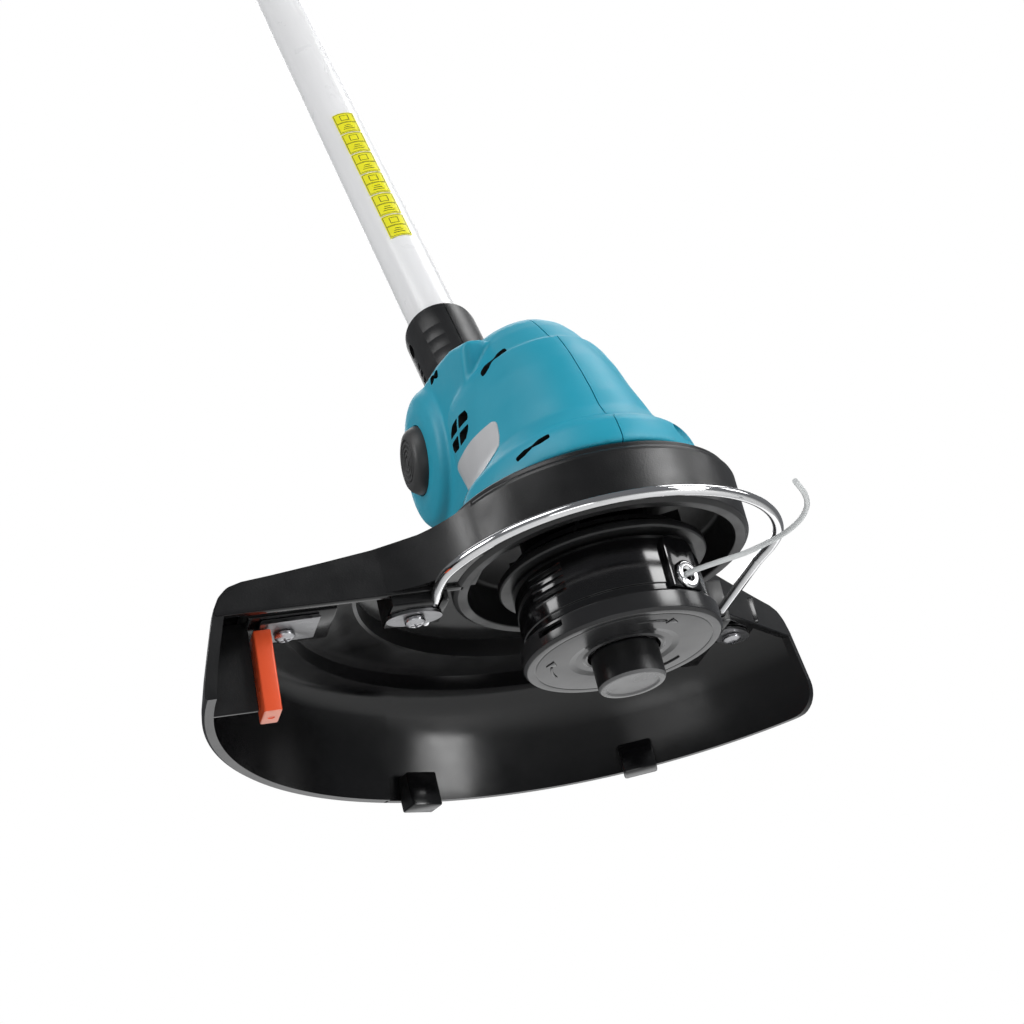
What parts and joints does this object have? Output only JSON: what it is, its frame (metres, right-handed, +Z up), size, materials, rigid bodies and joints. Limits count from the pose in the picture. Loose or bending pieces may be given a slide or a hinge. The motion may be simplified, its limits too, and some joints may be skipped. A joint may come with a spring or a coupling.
{
  "type": "string trimmer",
  "caption": "Cordless string trimmer with a tilting and turning head, bump-feed line spool, part-round guard, plant guard wire and telescopic shaft.",
  "frame": {"origin": "centre of the bump knob's flat lower face, on the line head's spin axis", "axes": "+Z up along the line head's spin axis, -Y the way the user walks, +X the user's right"},
  "size_m": [0.2667, 0.7463, 1.2918],
  "materials": {
    "black_plastic": "satin black moulded plastic",
    "gloss_black": "glossy black moulded plastic",
    "blue_plastic": "satin teal blue moulded plastic",
    "steel": "bright steel",
    "silver_tube": "satin silver tube",
    "orange_plastic": "satin orange-red moulded plastic",
    "yellow_label": "yellow printed film",
    "grey_plate": "plain grey",
    "rubber": "black cable jacket",
    "copper": "wound copper",
    "nylon": "milky translucent nylon"
  },
  "bodies": {
    "handle": {"upper_tube": "silver_tube", "lock_collar": "black_plastic", "lever_pin": "steel", "handle_clamp": "black_plastic", "handle_bolt": "steel", "handle_left": "blue_plastic", "handle_right": "blue_plastic", "front_handle_screw": "steel", "rear_handle_screw": "steel", "trigger_switch": "grey_plate", "battery_terminals": "black_plastic", "battery_rail": "black_plastic"},
    "battery": {"battery_case": "black_plastic", "battery_cells": "grey_plate"},
    "battery_release": {"battery_release": "orange_plastic"},
    "trigger": {"trigger": "black_plastic"},
    "lock_off": {"lock_off_button": "black_plastic"},
    "front_handle": {"front_handle": "black_plastic"},
    "clamp_knob": {"clamp_knob": "black_plastic"},
    "lock_lever": {"lock_lever": "black_plastic"},
    "lower_shaft": {"lower_tube": "silver_tube", "tube_label": "yellow_label", "shaft_cable": "rubber"},
    "neck": {"neck_left": "black_plastic", "neck_right": "black_plastic"},
    "head": {"housing_left": "blue_plastic", "housing_right": "blue_plastic", "guard": "black_plastic", "motor_can": "steel", "motor_end_cap": "black_plastic", "lower_bearing": "steel", "upper_bearing": "steel", "magnet_ring": "grey_plate", "front_housing_screw": "steel", "rear_housing_screw": "steel", "pivot_cap": "black_plastic", "pivot_pin": "steel", "line_cutter": "steel", "cutter_screw": "steel", "left_wire_retainer": "steel", "right_wire_retainer": "steel", "left_retainer_screw": "steel", "right_retainer_screw": "steel", "tilt_button_spring": "steel"},
    "tilt_button": {"tilt_button": "black_plastic"},
    "spool": {"spool_housing": "gloss_black", "spool_cover": "gloss_black", "eyelet_front": "steel", "eyelet_rear": "steel", "spool_backplate": "black_plastic", "cooling_fan": "black_plastic", "motor_shaft": "steel", "rotor": "copper", "trimmer_line": "nylon", "bump_spring": "steel"},
    "bump": {"bump_knob": "black_plastic", "line_spool": "black_plastic", "wound_line": "nylon"},
    "wire_guard": {"wire_guard": "steel"},
    "blade_cover": {"blade_cover": "orange_plastic"}
  },
  "joints": [
    {"name": "battery_slide", "type": "slide", "parent": "handle", "child": "battery", "axis": [0, -0.9114, 0.4115], "range_m": [0, 0.12]},
    {"name": "battery_release_press", "type": "slide", "parent": "battery", "child": "battery_release", "axis": [0, 0.9114, -0.4115], "range_m": [0, 0.0012], "stiffness_N_per_m": 900, "springref_m": -0.0006},
    {"name": "trigger_squeeze", "type": "hinge", "parent": "handle", "child": "trigger", "pos_m": [0, 0.50264, 1.04376], "axis": [1, 0, 0], "range_deg": [0, 8], "stiffness_Nm_per_rad": 1, "springref_deg": -8.59},
    {"name": "lock_off_press", "type": "slide", "parent": "handle", "child": "lock_off", "axis": [0, 0.9114, -0.4115], "range_m": [0, 0.003], "stiffness_N_per_m": 500, "springref_m": -0.001},
    {"name": "front_handle_tilt", "type": "hinge", "parent": "handle", "child": "front_handle", "pos_m": [0, 0.32148, 0.74702], "axis": [1, 0, 0], "range_deg": [-25, 40]},
    {"name": "clamp_knob_turn", "type": "hinge", "parent": "handle", "child": "clamp_knob", "pos_m": [0, 0.32148, 0.74702], "axis": [1, 0, 0], "continuous": true},
    {"name": "lock_lever_flip", "type": "hinge", "parent": "handle", "child": "lock_lever", "pos_m": [0, 0.26009, 0.59041], "axis": [-1, 0, 0], "range_deg": [0, 110]},
    {"name": "shaft_extend", "type": "slide", "parent": "handle", "child": "lower_shaft", "axis": [0, -0.4115, -0.9114], "range_m": [0, 0.15]},
    {"name": "head_turn", "type": "hinge", "parent": "lower_shaft", "child": "neck", "pos_m": [0, 0.0802, 0.1373], "axis": [0, 0.4115, 0.9114], "range_deg": [0, 180]},
    {"name": "head_tilt", "type": "hinge", "parent": "neck", "child": "head", "pos_m": [0, 0.0802, 0.1373], "axis": [1, 0, 0], "range_deg": [-30, 30]},
    {"name": "tilt_button_press", "type": "slide", "parent": "head", "child": "tilt_button", "axis": [1, 0, 0], "range_m": [0, 0.0024], "stiffness_N_per_m": 900, "springref_m": -0.001, "deforming": ["tilt_button_spring"]},
    {"name": "spool_spin", "type": "hinge", "parent": "head", "child": "spool", "pos_m": [0, 0, 0], "axis": [0, 0, 1], "continuous": true},
    {"name": "bump_feed", "type": "slide", "parent": "spool", "child": "bump", "axis": [0, 0, 1], "range_m": [0, 0.004], "stiffness_N_per_m": 1500, "springref_m": -0.001, "deforming": ["bump_spring"]},
    {"name": "wire_guard_slide", "type": "slide", "parent": "head", "child": "wire_guard", "axis": [0, -1, 0], "range_m": [0, 0.018]},
    {"name": "blade_cover_slide", "type": "slide", "parent": "head", "child": "blade_cover", "axis": [-0.0549, 0, -0.9985], "range_m": [0, 0.035]}
  ]
}
